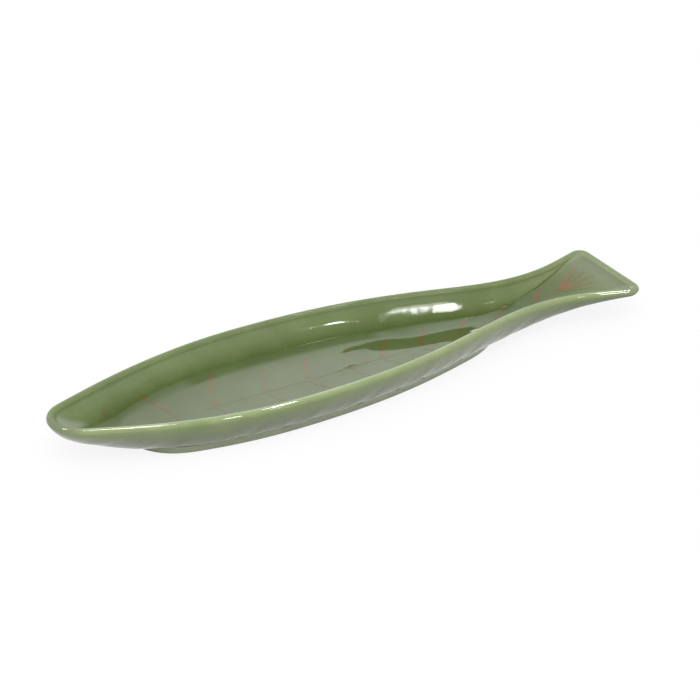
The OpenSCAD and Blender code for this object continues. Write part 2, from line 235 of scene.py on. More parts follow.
# Swell of the rear floor: height, start and length of each rise, and its middle and reach across
SWELL_RISES = [(0.55, 262, 30), (0.35, 285, 40)]
SWELL_ACROSS = (-3, 12)

# Small bumps of the floor: height, middle and reach along, middle and reach across
BUMPS = [(0.33, 243, 9, 18, 2.8), (0.34, 229, 8, -1, 2.6)]

# Distance from the fold over which the swell and the bumps come up
SWELL_EDGE = 8

# Slow waves that a hand finished surface has: turn per millimetre along and across, phase, height
WAVES = [
    (0.060, 0.011, 0.3, 0.050), (0.031, 0.083, 1.9, 0.045), (0.102, -0.049, 4.1, 0.028),
    (-0.067, 0.121, 2.6, 0.026), (0.147, 0.092, 5.2, 0.014), (0.189, -0.133, 0.9, 0.010),
]


def spread(d, reach):
    """Height of a hollow corner at a distance from the fold, for a slope of one at the fold."""
    return reach * math.sqrt(math.pi) / 2 * ERFC(np.clip(d / reach, 0, ERFC_END)).astype(float)


def narrow_slope(x):
    return NARROW_SLOPE + NARROW_SLOPE_GAIN * fade(x, *NARROW_SLOPE_STEP)


def narrow_reach(x):
    belly = BELLY_REACH_GAIN * fade(x, *BELLY_REACH_STEP) * (1 - fade(x, *BELLY_REACH_END))
    return NARROW_REACH + belly + REAR_REACH_GAIN * fade(x, *REAR_REACH_STEP)


def wide_slope(x):
    return WIDE_SLOPE * (1 - fade(x, *WIDE_SLOPE_END))


def fold_slope(x):
    """Slope of the floor where it meets the wall."""
    return clamp(in_share(x)) * (narrow_slope(x) + wide_slope(x)) * clamp(floor_w(x) / SLOPE_FLOOR_W)


def calm_share(x):
    """How much of the slow waves the inside takes: less where the wall is low."""
    return clamp(in_share(x) * CALM_GAIN)


def floor_lift(x, y):
    """Height of the floor over its middle line: a soft corner, a low swell and two small bumps."""
    edge = floor_w(x)
    d = np.maximum(edge - np.abs(y), 0)
    narrow, wide = narrow_reach(x), WIDE_REACH
    lift = narrow_slope(x) * (spread(d, narrow) - spread(edge, narrow))
    lift = lift + wide_slope(x) * (spread(d, wide) - spread(edge, wide))
    swell = sum(h * fade(x, start, length) for h, start, length in SWELL_RISES)
    swell = swell * bell(y, *SWELL_ACROSS)
    bumps = sum(h * bell(x, a, p) * bell(y, b, q) for h, a, p, b, q in BUMPS)
    return clamp(in_share(x)) * (lift + (swell + bumps) * clamp(d / SWELL_EDGE))


def waves(x, y):
    return sum(height * np.sin(a * x + b * y + phase) for a, b, phase, height in WAVES)


def wall_bulge(slope, run, q):
    """Swelling of the wall above the fold, so that the wall meets the floor's slope."""
    return slope * run * (1 - q) * q * q


def bowl_z(x, y):
    """Height of the inside of the bowl."""
    edge, low = floor_w(x), floor_z(x)
    rise = floor_lift(x, edge)
    high = rim_top(x) - lip_v(x)
    run = rim_in_w(x) - edge
    q = clamp((rim_in_w(x) - np.abs(y)) / run)
    on_floor = low + floor_lift(x, y)
    on_wall = high - (high - low - rise) * wall_fall(q, INNER_BEND) + wall_bulge(fold_slope(x), run, q)
    return np.where(np.abs(y) <= edge, on_floor, on_wall) + waves(x, y) * calm_share(x)


# Values that steer the glaze. The profile value runs across the dish: 0 middle of the floor, 1 edge of the
# floor, 2 inner edge of the rim, 3 outer edge of the rim, 4 edge of the underside, 5 middle of the underside.

FLOOR_EDGE, RIM_IN, RIM_OUT, UNDER_MIDDLE = 1.0, 2.0, 3.0, 5.0
FLOOR_POWER = 4.0
WALL_FROM, RIM_CREST, CREST_FADE = 1.02, 2.3, 0.3

# Where the colours of the tail start on the floor and on the wall, and how they come back in the nose
# On the wall these colours are a painted reflection, lighter than the glaze
TAIL_START, WALL_START, TAIL_EDGE_GAP = 385.0, 315.0, 1.0
NOSE_TAIL_SHARE, NOSE_TAIL_FADE = 0.3, (40, -30)

# Where the rim is paler, thinly glazed and, on the near side, with painted sheen: far to near side, nose tip,
# tail edge
NEAR_SHEEN_ACROSS, THIN_NOSE, THIN_TAIL = (22, -44), (7, 13), (425, 25)
THIN_TAIL_LOSS, THIN_TAIL_LEAST = 0.5, 0.3

# Where a grey reflection of the backdrop is painted into the glaze: inside the nose tip, on its near part
NOSE_REFLECTION_MOST, NOSE_REFLECTION_RISE, NOSE_REFLECTION_ACROSS, NOSE_REFLECTION_ALONG = 0.75, (1.0, 0.2), (14, -5), (36, -12)

# Where the gloss is broken: the rim, the fold with its glossy stretch, and the pool beside the far fold
DULL_RIM_REACH = 0.42
DULL_FOLD, DULL_FOLD_REACH, DULL_FOLD_GAIN, DULL_FOLD_STEP = 1.04, 0.09, 0.11, (262, 20)
FOLD_GLOSS = (247, 7)
POOL_DULL, POOL_W, POOL_FADE, POOL_STEP, POOL_END = 0.85, 7.6, 1.5, (112, 14), (262, 14)
POOL_TOP = 1.05

# Matt spots in the gloss of the far wall: middle along and across, reach along and across
MATT_SPOTS = [(277, 36.5, 10, 5), (230, 45, 7, 5), (256, 40, 7, 5), (358, 16, 7, 4), (371, 11, 6, 4)]
SPOT_POWER = 4


def tail_place(x, profile):
    """How far a point of the inside lies in the flared tail, from 0 at its foot to 1 at the tail edge."""
    on_wall = profile > WALL_FROM
    start = np.where(on_wall, WALL_START, TAIL_START)
    reach = clamp((x - start) / (PLATTER_LEN - TAIL_EDGE_GAP - start))
    at_nose = NOSE_TAIL_SHARE * fade(x, *NOSE_TAIL_FADE)
    reach = np.where(on_wall, np.maximum(reach, at_nose), reach)
    over = clamp((RIM_CREST + CREST_FADE - profile) / CREST_FADE)
    return np.where(profile <= RIM_CREST, reach, reach * over)


def thin_glaze_and_sheen(x, y):
    """How pale the rim is: thinly glazed, and with painted sheen and light on the near side; most there,
    least on the far side.
    """
    at_tail = fade(x, *THIN_TAIL)
    near = fade(y, *NEAR_SHEEN_ACROSS) * (1 - THIN_TAIL_LOSS * at_tail) * fade(x, *THIN_NOSE)
    return np.maximum(near, THIN_TAIL_LEAST * at_tail)


def nose_reflection_place(x, y, profile):
    """How strongly the painted grey reflection shows inside the tip of the nose."""
    inside = fade(profile, *NOSE_REFLECTION_RISE) * fade(profile, RIM_CREST, -CREST_FADE)
    return NOSE_REFLECTION_MOST * inside * fade(y, *NOSE_REFLECTION_ACROSS) * fade(x, *NOSE_REFLECTION_ALONG)


def dull_place(x, y, profile):
    """Where the gloss is broken: the far half of the rim, most of the fold, and a few spots."""
    rim = bell(profile, RIM_CREST, DULL_RIM_REACH) * (1 - thin_glaze_and_sheen(x, y))
    width = DULL_FOLD_REACH + DULL_FOLD_GAIN * fade(x, *DULL_FOLD_STEP)
    fold = bell(profile, DULL_FOLD, width) * (1 - bell(x, *FOLD_GLOSS))
    inside = floor_w(x) - y
    pool = POOL_DULL * clamp((POOL_W - inside) / POOL_FADE) * fade(x, *POOL_STEP) * (1 - fade(x, *POOL_END))
    spots = sum(bell(x, a, p, SPOT_POWER) * bell(y, b, q, SPOT_POWER) for a, b, p, q in MATT_SPOTS)
    return clamp(rim + fold + spots + np.where(profile < POOL_TOP, pool, 0.0))


def glaze_values(points, profile):
    """The values of the glaze's material at points of the bowl."""
    x, y = points[:, 0], points[:, 1]
    return {"profile": profile, "tail": tail_place(x, profile), "dull": dull_place(x, y, profile),
            "nose_reflection": nose_reflection_place(x, y, profile)}


# Outlines seen from above

OUTLINE_PACE = 0.26


def half_outline(nose_gap, tail_gap, inset, round_len, corner_r):
    def w(x):
        return (half_w(x) - inset(x)) * round_off(x - nose_gap, round_len)

    edge_x = PLATTER_LEN - tail_gap
    arc_x = edge_x - corner_r
    ends = w(np.array([arc_x, arc_x - corner_r]))
    flare = math.atan2(ends[0] - ends[1], corner_r)
    join_x = arc_x - corner_r * math.sin(flare)
    arc_y = w(np.array([join_x]))[0] - corner_r * math.cos(flare)
    t = np.arange(SIDE_STEPS + 1) / SIDE_STEPS
    u = t * t * (2 - t)
    x = join_x * u + nose_gap * clamp(1 - u / OUTLINE_PACE) ** 2
    side = np.stack([x, w(x)], 1)
    a = (math.pi / 2 + flare) * (1 - np.arange(1, CORNER_STEPS + 1) / CORNER_STEPS)
    arc = np.stack([arc_x + corner_r * np.cos(a), arc_y + corner_r * np.sin(a)], 1)
    e = arc_y * np.cos(math.pi / 2 * np.arange(1, EDGE_STEPS + 1) / EDGE_STEPS)
    edge = np.stack([np.full(EDGE_STEPS, edge_x), e], 1)
    return np.vstack([side, arc, edge])


def both_sides(half):
    return np.vstack([half, half[-2:0:-1] * [1, -1]])


def unit(v):
    return v / np.maximum(np.linalg.norm(v, axis=-1, keepdims=True), 1e-12)


def inward(loop):
    before, after = np.roll(loop, 1, 0), np.roll(loop, -1, 0)
    along = unit(unit(loop - before) + unit(after - loop))
    return np.stack([along[:, 1], -along[:, 0]], 1)


# Meshes

def new_mesh(name, points, faces, attributes, material, sharp_deg):
    """A piece from its points, with one value per point for each attribute."""
    metres = (np.asarray(points, float) - [PLATTER_LEN / 2, 0, 0]) * MM
    mesh = bpy.data.meshes.new(name)
    mesh.from_pydata(metres.tolist(), [], faces)
    for key, values in attributes.items():
        layer = mesh.attributes.new(key, "FLOAT", "POINT")
        layer.data.foreach_set("value", np.asarray(values, dtype=np.float32))
    mesh.validate()
    mesh.update()
    mesh.polygons.foreach_set("use_smooth", [True] * len(mesh.polygons))
    mesh.set_sharp_from_angle(angle=math.radians(sharp_deg))
    piece = bpy.data.objects.new(name, mesh)
    bpy.context.scene.collection.objects.link(piece)
    mesh.materials.append(material)
    return piece


def ring_faces(rings, count, joined=False):
    """Quads between rings of count points each; joined also fills in from the last ring to the first."""
    faces = []
    for r in range(rings if joined else rings - 1):
        here, there = r * count, (r + 1) % rings * count
        for i in range(count):
            j = (i + 1) % count
            faces.append([here + i, here + j, there + j, there + i])
    return faces


def lid_grid(loop, first, start, height, turned):
    """Closes an outline with rows of quads from side to side; returns points, faces and shares across.

    first is the index of the outline's first point, and start that of the first new point."""
    last = SIDE_STEPS + CORNER_STEPS
    columns = 2 * EDGE_STEPS
    shares = np.cos(math.pi * np.arange(1, columns) / columns)
    x = np.repeat(loop[1:last, 0], columns - 1)
    y = np.outer(loop[1:last, 1], shares).ravel()
    rows = []
    for i in range(1, last):
        new = start + (i - 1) * (columns - 1)
        rows.append([first + i, *range(new, new + columns - 1), first + len(loop) - i])
    rows.append(list(range(first + last, first + last + columns + 1)))
    faces = [[first, rows[0][c], rows[0][c + 1]] for c in range(columns)]
    for upper, lower in zip(rows, rows[1:]):
        faces += [[upper[c], lower[c], lower[c + 1], upper[c + 1]] for c in range(columns)]
    if turned:
        faces = [face[::-1] for face in faces]
    return np.stack([x, y, height(x, y)], 1), faces, np.tile(np.abs(shares), last - 1)


# Helpers for node trees

def linear(rgb):
    """A colour of three values from 0 to 255, as a screen shows it, in linear light."""
    shares = [c / 255 for c in rgb]
    return (*(s / 12.92 if s <= 0.04045 else ((s + 0.055) / 1.055) ** 2.4 for s in shares), 1.0)


def four(colour):
    """Four values for a socket: from one grey, from three values of 0 to 255, or as they are."""
    if isinstance(colour, float):
        return (colour, colour, colour, 1.0)
    return linear(colour) if len(colour) == 3 else colour


def put(tree, value, socket):
    """Links a socket's value, or sets a plain one."""
    if isinstance(value, bpy.types.NodeSocket):
        tree.links.new(value, socket)
    else:
        socket.default_value = value


def node(tree, kind, **sockets):
    made = tree.nodes.new(kind)
    for key, value in sockets.items():
        put(tree, value, made.inputs[key.replace("_", " ")])
    return made


def ramp(tree, stops, factor):
    made = tree.nodes.new("ShaderNodeValToRGB")
    made.color_ramp.interpolation = "LINEAR"
    elements = made.color_ramp.elements
    while len(elements) < len(stops):
        elements.new(0.5)
    for element, (place, colour) in zip(elements, stops):
        element.position = place
        element.color = four(colour)
    tree.links.new(factor, made.inputs["Fac"])
    return made.outputs["Color"]


def mixed(tree, factor, a, b, blend="MIX"):
    made = tree.nodes.new("ShaderNodeMix")
    made.data_type = "RGBA"
    made.blend_type = blend
    for name, value in (("Factor", factor), ("A", a), ("B", b)):
        put(tree, value, next(s for s in made.inputs if s.name == name and s.enabled))
    return next(s for s in made.outputs if s.name == "Result" and s.enabled)


def maths(tree, operation, a, b, clamped=False):
    made = tree.nodes.new("ShaderNodeMath")
    made.operation = operation
    made.use_clamp = clamped
    for socket, value in zip(made.inputs, (a, b)):
        put(tree, value, socket)
    return made.outputs[0]


def times(tree, a, b, clamped=False):
    return maths(tree, "MULTIPLY", a, b, clamped)


def plus(tree, a, b):
    return maths(tree, "ADD", a, b)


def minus(tree, a, b):
    return maths(tree, "SUBTRACT", a, b)


def noise(tree, coords, scale, detail, rough=0.5):
    return node(tree, "ShaderNodeTexNoise", Vector=coords, Scale=scale, Detail=detail,
                Roughness=rough).outputs["Fac"]


def attribute(tree, name):
    made = tree.nodes.new("ShaderNodeAttribute")
    made.attribute_name = name
    return made.outputs["Fac"]


def map_range(tree, value, low, high, interpolation="LINEAR"):
    made = node(tree, "ShaderNodeMapRange", Value=value, From_Min=low, From_Max=high)
    made.interpolation_type = interpolation
    return made.outputs["Result"]


def mix_shaders(tree, factor, a, b):
    made = node(tree, "ShaderNodeMixShader", Fac=factor)
    put(tree, a.outputs[0], made.inputs[1])
    put(tree, b.outputs[0], made.inputs[2])
    return made


# Materials

GLAZE_IOR = 1.58
PROFILE_SPAN = 5.0

# Colours along the profile, from the middle of the floor to the middle of the underside: near side, then far
# The near side's pale rim crest, 0.46 to 0.58, is partly painted sheen and highlight
PROFILE_STOPS = [
    (0.0, (94, 111, 64)), (0.16, (94, 111, 64)), (0.2, (94, 112, 62)), (0.24, (112, 129, 80)),
    (0.31, (130, 147, 98)), (0.38, (138, 154, 108)), (0.42, (138, 154, 108)), (0.46, (150, 166, 120)),
    (0.5, (168, 182, 142)), (0.54, (166, 182, 134)), (0.58, (148, 165, 110)), (0.62, (124, 141, 90)),
    (0.7, (104, 118, 80)), (0.8, (98, 110, 76)), (1.0, (100, 114, 78)),
]
FAR_STOPS = PROFILE_STOPS[:7] + [
    (0.46, (130, 146, 102)), (0.5, (134, 149, 108)), (0.54, (140, 152, 120)), (0.6, (128, 142, 104)),
] + PROFILE_STOPS[-4:]

# Colours of the flared tail, along its floor and up its wall, and the profile values where each ends
TAIL_STOPS = [
    (0.0, (90, 108, 46)), (0.45, (94, 112, 42)), (0.7, (94, 112, 44)), (0.85, (94, 111, 54)),
    (1.0, (104, 119, 78)),
]
# Pale colours up the tail's wall: a painted reflection of the bright surroundings
TAIL_WALL_PAINTED_LIGHT_STOPS = [
    (0.0, (118, 136, 88)), (0.4, (136, 152, 102)), (0.7, (146, 160, 114)), (1.0, (146, 158, 120)),
]
TAIL_GAIN, TAIL_CLIMB = 2.5, 0.8
TAIL_FLOOR_RANGE, TAIL_WALL_RANGE = (1.15, 1.0), (1.1, 1.8)

# Greys of the reflection painted inside the nose tip
NOSE_REFLECTION_STOPS = [(0.3, (152, 162, 142)), (0.7, (162, 171, 150))]
CLOUD_STOPS = [(0.3, (0.9, 0.9, 0.88, 1)), (0.7, (1.08, 1.07, 1.05, 1))]
GRAIN_STOPS = [(0.35, (0.94, 0.94, 0.94, 1)), (0.65, (1.04, 1.04, 1.03, 1))]
ROUGH_STOPS = [(0.3, 0.03), (0.75, 0.07)]
DRIFT, GLOSS, DULL_LOSS = 0.05, 0.5, 0.47

# Greens of the foot, painted lighter than the wall above as painted light under the overhang
FOOT_PAINTED_LIGHT_STOPS = [(0.1, (150, 158, 128)), (0.5, (158, 167, 134)), (1.0, (146, 156, 120))]
FOOT_CLOUD_STOPS = [(0.3, (0.9, 0.9, 0.9, 1)), (0.7, (1.06, 1.06, 1.05, 1))]
CLAY_STOPS = [(0.35, (176, 160, 134)), (0.65, (202, 188, 164))]
BARE_H, BARE_WOBBLE = 0.5 * MM, 0.8 * MM
FOOT_ROUGH, BARE_ROUGH_GAIN = 0.09, 0.7

# Noise of the materials: scale per metre, detail and, where it isn't 0.5, roughness
DRIFT_NOISE, NOSE_REFLECTION_NOISE, SHINE_NOISE, EDGE_NOISE = (55, 3), (60, 3), (70, 3), (120, 3)
CLOUD_NOISE, GRAIN_NOISE = (38, 4, 0.55), (900, 3, 0.6)
SLOW_NOISE, PEEL_NOISE = (48, 2, 0.4), (190, 2, 0.5)
FOOT_CLOUD_NOISE, CLAY_NOISE = (90, 4, 0.55), (1400, 4, 0.7)
STREAK_NOISE, PATCH_NOISE = (700, 4, 0.65), (130, 3, 0.6)
SLOW_GAIN, PEEL_GAIN, BUMP_STRENGTH, BUMP_H = 0.45, 0.05, 0.25, 0.9 * MM

BRUSH_BODY_POWER = 2.6
STREAK_GAIN, BLOTCH_GAIN, BLOTCH_FROM, BLOTCH_CONTRAST = 0.6, 1.1, 0.33, 2.6
PAINT_PLACES = (0.35, 0.7)


def glaze_colour(tree, coords):
    """Base colour of the green glaze: pale where thinly glazed on the rim, deep where it pools, with painted
    sheen, reflection and light.
    """
    profile, tail = attribute(tree, "profile"), attribute(tree, "tail")
    drift = times(tree, minus(tree, noise(tree, coords, *DRIFT_NOISE), 0.5), DRIFT)
    place = plus(tree, maths(tree, "DIVIDE", profile, PROFILE_SPAN), drift)
    # The near side's paler rim stands in partly for painted sheen and light
    base = mixed(tree, attribute(tree, "thin_and_sheen"), ramp(tree, FAR_STOPS, place),
                 ramp(tree, PROFILE_STOPS, place))
    amount = times(tree, tail, TAIL_GAIN, True)
    on_floor = map_range(tree, profile, *TAIL_FLOOR_RANGE)
    on_wall = map_range(tree, plus(tree, profile, times(tree, tail, TAIL_CLIMB)), *TAIL_WALL_RANGE)
    base = mixed(tree, times(tree, amount, on_floor), base, ramp(tree, TAIL_STOPS, tail))
    # Painted reflection: the wall of the tail, and a little of the nose's, is lightened
    base = mixed(tree, times(tree, amount, on_wall), base, ramp(tree, TAIL_WALL_PAINTED_LIGHT_STOPS, tail))
    # Painted reflection: the inside of the nose tip turns grey
    nose_reflection_grey = ramp(tree, NOSE_REFLECTION_STOPS, noise(tree, coords, *NOSE_REFLECTION_NOISE))
    base = mixed(tree, attribute(tree, "nose_reflection"), base, nose_reflection_grey)
    cloud = ramp(tree, CLOUD_STOPS, noise(tree, coords, *CLOUD_NOISE))
    grain = ramp(tree, GRAIN_STOPS, noise(tree, coords, *GRAIN_NOISE))
    return mixed(tree, 1.0, mixed(tree, 1.0, base, cloud, "MULTIPLY"), grain, "MULTIPLY")


def glaze_bump(tree, coords):
    """Faint orange peel and slow ripples of a poured glaze."""
    slow = times(tree, noise(tree, coords, *SLOW_NOISE), SLOW_GAIN)
    peel = times(tree, noise(tree, coords, *PEEL_NOISE), PEEL_GAIN)
    height = plus(tree, slow, peel)
    bump = node(tree, "ShaderNodeBump", Strength=BUMP_STRENGTH, Distance=BUMP_H, Height=height)
    return bump.outputs["Normal"]


def glaze_shine(tree, shader, coords):
    """Gloss that varies a little, and is lost where the dull value is high."""
    shine = minus(tree, GLOSS, times(tree, attribute(tree, "dull"), DULL_LOSS))
    put(tree, shine, shader.inputs["Specular IOR Level"])
    put(tree, ramp(tree, ROUGH_STOPS, noise(tree, coords, *SHINE_NOISE)), shader.inputs["Roughness"])


def new_material(name):
    """A glazed material without its colour and roughness."""
    material = bpy.data.materials.new(name)
    material.use_nodes = True
    tree = material.node_tree
    shader = tree.nodes["Principled BSDF"]
    coords = tree.nodes.new("ShaderNodeTexCoord").outputs["Object"]
    shader.inputs["IOR"].default_value = GLAZE_IOR
    put(tree, glaze_bump(tree, coords), shader.inputs["Normal"])
    return material, tree, shader, coords


def glaze_material():
    material, tree, shader, coords = new_material("green_glaze")
    put(tree, glaze_colour(tree, coords), shader.inputs["Base Color"])
    glaze_shine(tree, shader, coords)
    return material


def foot_material():
    """Glaze down to the foot, painted lighter as light where the overhang shades it, with the bearing edge
    wiped bare.
    """
    material, tree, shader, coords = new_material("foot_glaze")
    up = node(tree, "ShaderNodeSeparateXYZ", Vector=coords).outputs["Z"]
    wobble = times(tree, minus(tree, noise(tree, coords, *EDGE_NOISE), 0.5), BARE_WOBBLE)
    level = plus(tree, up, wobble)
    bare = maths(tree, "LESS_THAN", level, BARE_H)
    green = ramp(tree, FOOT_PAINTED_LIGHT_STOPS, maths(tree, "DIVIDE", level, FOOT_H * MM))
    cloud = ramp(tree, FOOT_CLOUD_STOPS, noise(tree, coords, *FOOT_CLOUD_NOISE))
    green = mixed(tree, 1.0, green, cloud, "MULTIPLY")
    clay = ramp(tree, CLAY_STOPS, noise(tree, coords, *CLAY_NOISE))
    put(tree, mixed(tree, bare, green, clay), shader.inputs["Base Color"])
    put(tree, plus(tree, times(tree, bare, BARE_ROUGH_GAIN), FOOT_ROUGH), shader.inputs["Roughness"])
    return material


def brush_material(name, strong, pale, cover):
    """Brushed colour under the clear gloss: streaked and blotched, and worn at its edges."""
    material, tree, shader, coords = new_material(name)
    streak = noise(tree, coords, *STREAK_NOISE)
    patch = noise(tree, coords, *PATCH_NOISE)
    body = minus(tree, 1.0, maths(tree, "POWER", attribute(tree, "across"), BRUSH_BODY_POWER))
    blotch = times(tree, minus(tree, patch, BLOTCH_FROM), BLOTCH_CONTRAST, True)
    load = plus(tree, times(tree, streak, STREAK_GAIN), times(tree, blotch, BLOTCH_GAIN))
    load = times(tree, times(tree, load, cover), attribute(tree, "along"))
    paint = ramp(tree, list(zip(PAINT_PLACES, (strong, pale))), patch)
    colour = mixed(tree, times(tree, body, load, True), glaze_colour(tree, coords), paint)
    put(tree, colour, shader.inputs["Base Color"])
    glaze_shine(tree, shader, coords)
    return material


GLAZE = glaze_material()
FOOT = foot_material()
BRUSH = brush_material("brush_colour", (136, 76, 34), (140, 92, 46), cover=0.85)
OCHRE = brush_material("eye_colour", (128, 92, 40), (140, 108, 50), cover=0.8)


# The dish

# Half width that the waves may not pass, so that the dish stays inside the solid's box
BOX_HALF_W = 57.268

# Slanted ripples low on the outer wall: height, turn per millimetre, phase
RIPPLES = [(0.264, 0.21, 0.0), (0.22, 0.34, 1.3), (0.11, 0.61, 0.4)]
RIPPLE_SLANT = 0.9

# How far the inner half of the rim is softened: fully where the lip is low, and less as it gets higher
SOFT_LIP, SOFT_LIP_LOSS = 1.6, 1.8


def quarter(i, steps, bend):
    """Angle, run and fall of a step in a quarter turn from the rim, squared off by bend."""
    a = math.pi / 2 * i / steps
    return a, 1 - math.cos(a) ** (2 / bend), math.sin(a) ** (2 / bend)


def build_dish():
    rim = both_sides(half_outline(0, 0, lambda x: 0 * x, NOSE_ROUND, TAIL_CORNER_R))
    floor = both_sides(half_outline(
        FLOOR_NOSE_GAP, RIM_T + FLOOR_TAIL_STEP, floor_inset, FLOOR_ROUND, TAIL_CORNER_R - RIM_T))
    under = both_sides(half_outline(
        UNDER_NOSE_GAP, UNDER_TAIL_GAP, under_inset, UNDER_ROUND, TAIL_CORNER_R - UNDER_TAIL_GAP))
    inside = inward(rim)
    n, x = len(rim), rim[:, 0]
    floor_x, under_edge_z = floor[:, 0], under_z(under[:, 0])
    calm = calm_share(floor_x)
    floor_edge_z = floor_z(floor_x) + floor_lift(floor_x, floor[:, 1])
    rings, profile = [], []

    def add(points_xy, z, place, wave=0.0):
        z = z + waves(points_xy[:, 0], points_xy[:, 1]) * wave
        rings.append(np.c_[points_xy, z])
        profile.append(np.full(n, place))

    add(floor, floor_edge_z, FLOOR_EDGE, calm)
    top = rim + inside * RIM_T
    top_z = rim_top(x) - lip_v(x)
    run = np.linalg.norm(floor - top, axis=1)
    for i in range(WALL_STEPS - 1, 0, -1):
        a, q, fall = quarter(i, WALL_STEPS, INNER_BEND)
        z = top_z + (floor_edge_z - top_z) * fall + wall_bulge(fold_slope(floor_x), run, q)
        add(top + (floor - top) * q, z, RIM_IN - fall, calm * q)
    soft = clamp(SOFT_LIP - SOFT_LIP_LOSS * lip_v(x) / RIM_R)
    for i in range(LIP_STEPS + 1):
        a = math.pi * i / LIP_STEPS
        v, rise = RIM_R, math.sin(a)
        if a < math.pi / 2:
            v = lip_v(x)
            rise = rise * (1 - soft) + ease(1 - math.cos(a)) * soft
        z = rim_top(x) - v + v * rise
        add(rim + inside * RIM_R * (1 + math.cos(a)), z, RIM_IN + i / LIP_STEPS)
    top_z = rim_top(x) - RIM_R
    for i in range(1, UNDER_STEPS + 1):
        a, q, fall = quarter(i, UNDER_STEPS, OUTER_BEND)
        p = rim + (under - rim) * q
        slant = p[:, 0] + RIPPLE_SLANT * fall * BODY_DEPTH
        ripple = sines(slant, RIPPLES) * clamp(out_share(x)) * math.sin(a) ** 2 * math.cos(a) ** 0.5
        add(p - inside * ripple[:, None], top_z + (under_edge_z - top_z) * fall, RIM_OUT + fall)

    faces = ring_faces(len(rings), n)
    count = len(rings) * n
    lid, lid_faces, across = lid_grid(floor, 0, count, bowl_z, True)
    base, base_faces, base_across = lid_grid(
        under, count - n, count + len(lid), lambda px, py: under_z(px), False)
    points = np.vstack(rings + [lid, base])
    points[:, 1] = np.clip(points[:, 1], -BOX_HALF_W, BOX_HALF_W)
    place = np.concatenate(profile + [across ** FLOOR_POWER, UNDER_MIDDLE - base_across])
    values = {**glaze_values(points, place), "thin_and_sheen": thin_glaze_and_sheen(points[:, 0], points[:, 1])}
    return new_mesh("glazed_dish", points, faces + lid_faces + base_faces, values, GLAZE, DISH_SHARP_DEG)


# The foot ring

# Rounding of the bearing edge, and the hollow of clay and glaze between the outer wall and the foot, whose
# three points are an inset from the foot's outer side and a height over the foot's top
FOOT_EDGE_R = 1.3
FOOT_HOLLOW = [(-3.6, 2.2), (-0.6, 0.5), (0.0, -3.2)]

# Inner corner of the foot against the underside, as points past the foot's inner side and under its top
FOOT_INNER = [(0.0, -1.1), (0.12, -0.5), (0.42, -0.12), (0.7, 0.0)]


def bezier(a, b, c, t):
    t = t[:, None]
    return (1 - t) ** 2 * a + 2 * t * (1 - t) * b + t * t * c


def foot_outline(inset):
    front = FOOT_NOSE_GAP + inset
    back = PLATTER_LEN - FOOT_TAIL_GAP - inset
    end_len = FOOT_ROUND - inset
    x = front + (back - front) * (1 - np.cos(math.pi * np.arange(FOOT_STEPS + 1) / FOOT_STEPS)) / 2
    w = (half_w(x) - FOOT_INSET - inset) * round_off(x - front, end_len) * round_off(back - x, end_len)
    return both_sides(np.stack([x, w], 1))


def build_foot():
    hollow = bezier(*np.array(FOOT_HOLLOW), np.linspace(0, 1, FOOT_HOLLOW_POINTS)) + [0, FOOT_H]
    a = np.linspace(0, math.pi / 2, FOOT_ROUND_POINTS)
    run, low = FOOT_EDGE_R * np.sin(a), FOOT_EDGE_R * (1 - np.cos(a))
    section = np.vstack([
        hollow,
        np.stack([low, FOOT_EDGE_R - run], 1),
        [[FOOT_T / 2, 0.0]],
        np.stack([FOOT_T - FOOT_EDGE_R + run, low], 1),
        np.array(FOOT_INNER) + [FOOT_T, FOOT_H],
    ])
    rings = []
    for inset, z in section:
        loop = foot_outline(inset)
        rings.append(np.c_[loop, np.full(len(loop), z)])
    faces = ring_faces(len(rings), len(rings[0]), joined=True)
    return new_mesh("glazed_foot", np.vstack(rings), faces, {}, FOOT, FOOT_SHARP_DEG)


# Painted strokes, as thin films that lie on the bowl

FILM_T, FILM_GAP = 0.07, 0.006
FILM_ROWS = [-1.0, -0.93, -0.5, 0.0, 0.5, 0.93, 1.0]
UNEVEN, SMOOTH_POINTS = 0.35, 7
BRUSH_SPREAD, BRUSH_SWELL, BRUSH_TAPER = 1.3, 0.1, 0.3
START_LOAD, FADING, FAN_FADING, FADING_POWER = 1.05, 0.45, 0.6, 1.5

# How much higher each stroke of the tail fan lies than the one before, so that crossing films stay apart
FAN_STEP = 0.012

# Unevenness of the eye's outline, and of the spine's path and strength: height, turn, phase
EYE_WOBBLE = [(0.10, 2, 0.7), (0.05, 5, 0.0)]
EYE_SHARES = [0.93, 0.6, 0.3]
SPINE_SWAY = [(0.35, 17, 0.0)]
SPINE_MARKS = [(0.3, 31, 1.0), (0.2, 77, 0.0)]
SPINE_MARKS_MEAN, SPINE_LOAD_GAIN = 0.72, 0.5

# Strength of the gill along its length: at its middle, at its peak with the peak's place and reach, and lost
# toward its ends
GILL_LOAD, GILL_PEAK_GAIN, GILL_PEAK, GILL_END_LOSS = 0.5, 0.6, (0.55, 0.3), 0.15

# Step over which the bowl's normal is taken
NORMAL_STEP = 0.3


def on_bowl(p, lift):
    """Points of the bowl under a path seen from above, lifted along the bowl's normal."""
    h = NORMAL_STEP
    x, y = p[:, 0], p[:, 1]
    up_x = bowl_z(x + h, y) - bowl_z(x - h, y)
    up_y = bowl_z(x, y + h) - bowl_z(x, y - h)
    normal = unit(np.stack([-up_x, -up_y, np.full(len(x), 2 * h)], 1))
    return np.c_[p, bowl_z(x, y)] + normal * lift


def bowl_place(p):
    """Profile values of points of the bowl."""
    x, y = p[:, 0], np.abs(p[:, 1])
    edge = floor_w(x)
    q = clamp((rim_in_w(x) - y) / (rim_in_w(x) - edge))
    return np.where(y <= edge, clamp(y / edge) ** FLOOR_POWER, RIM_IN - wall_fall(q, INNER_BEND))


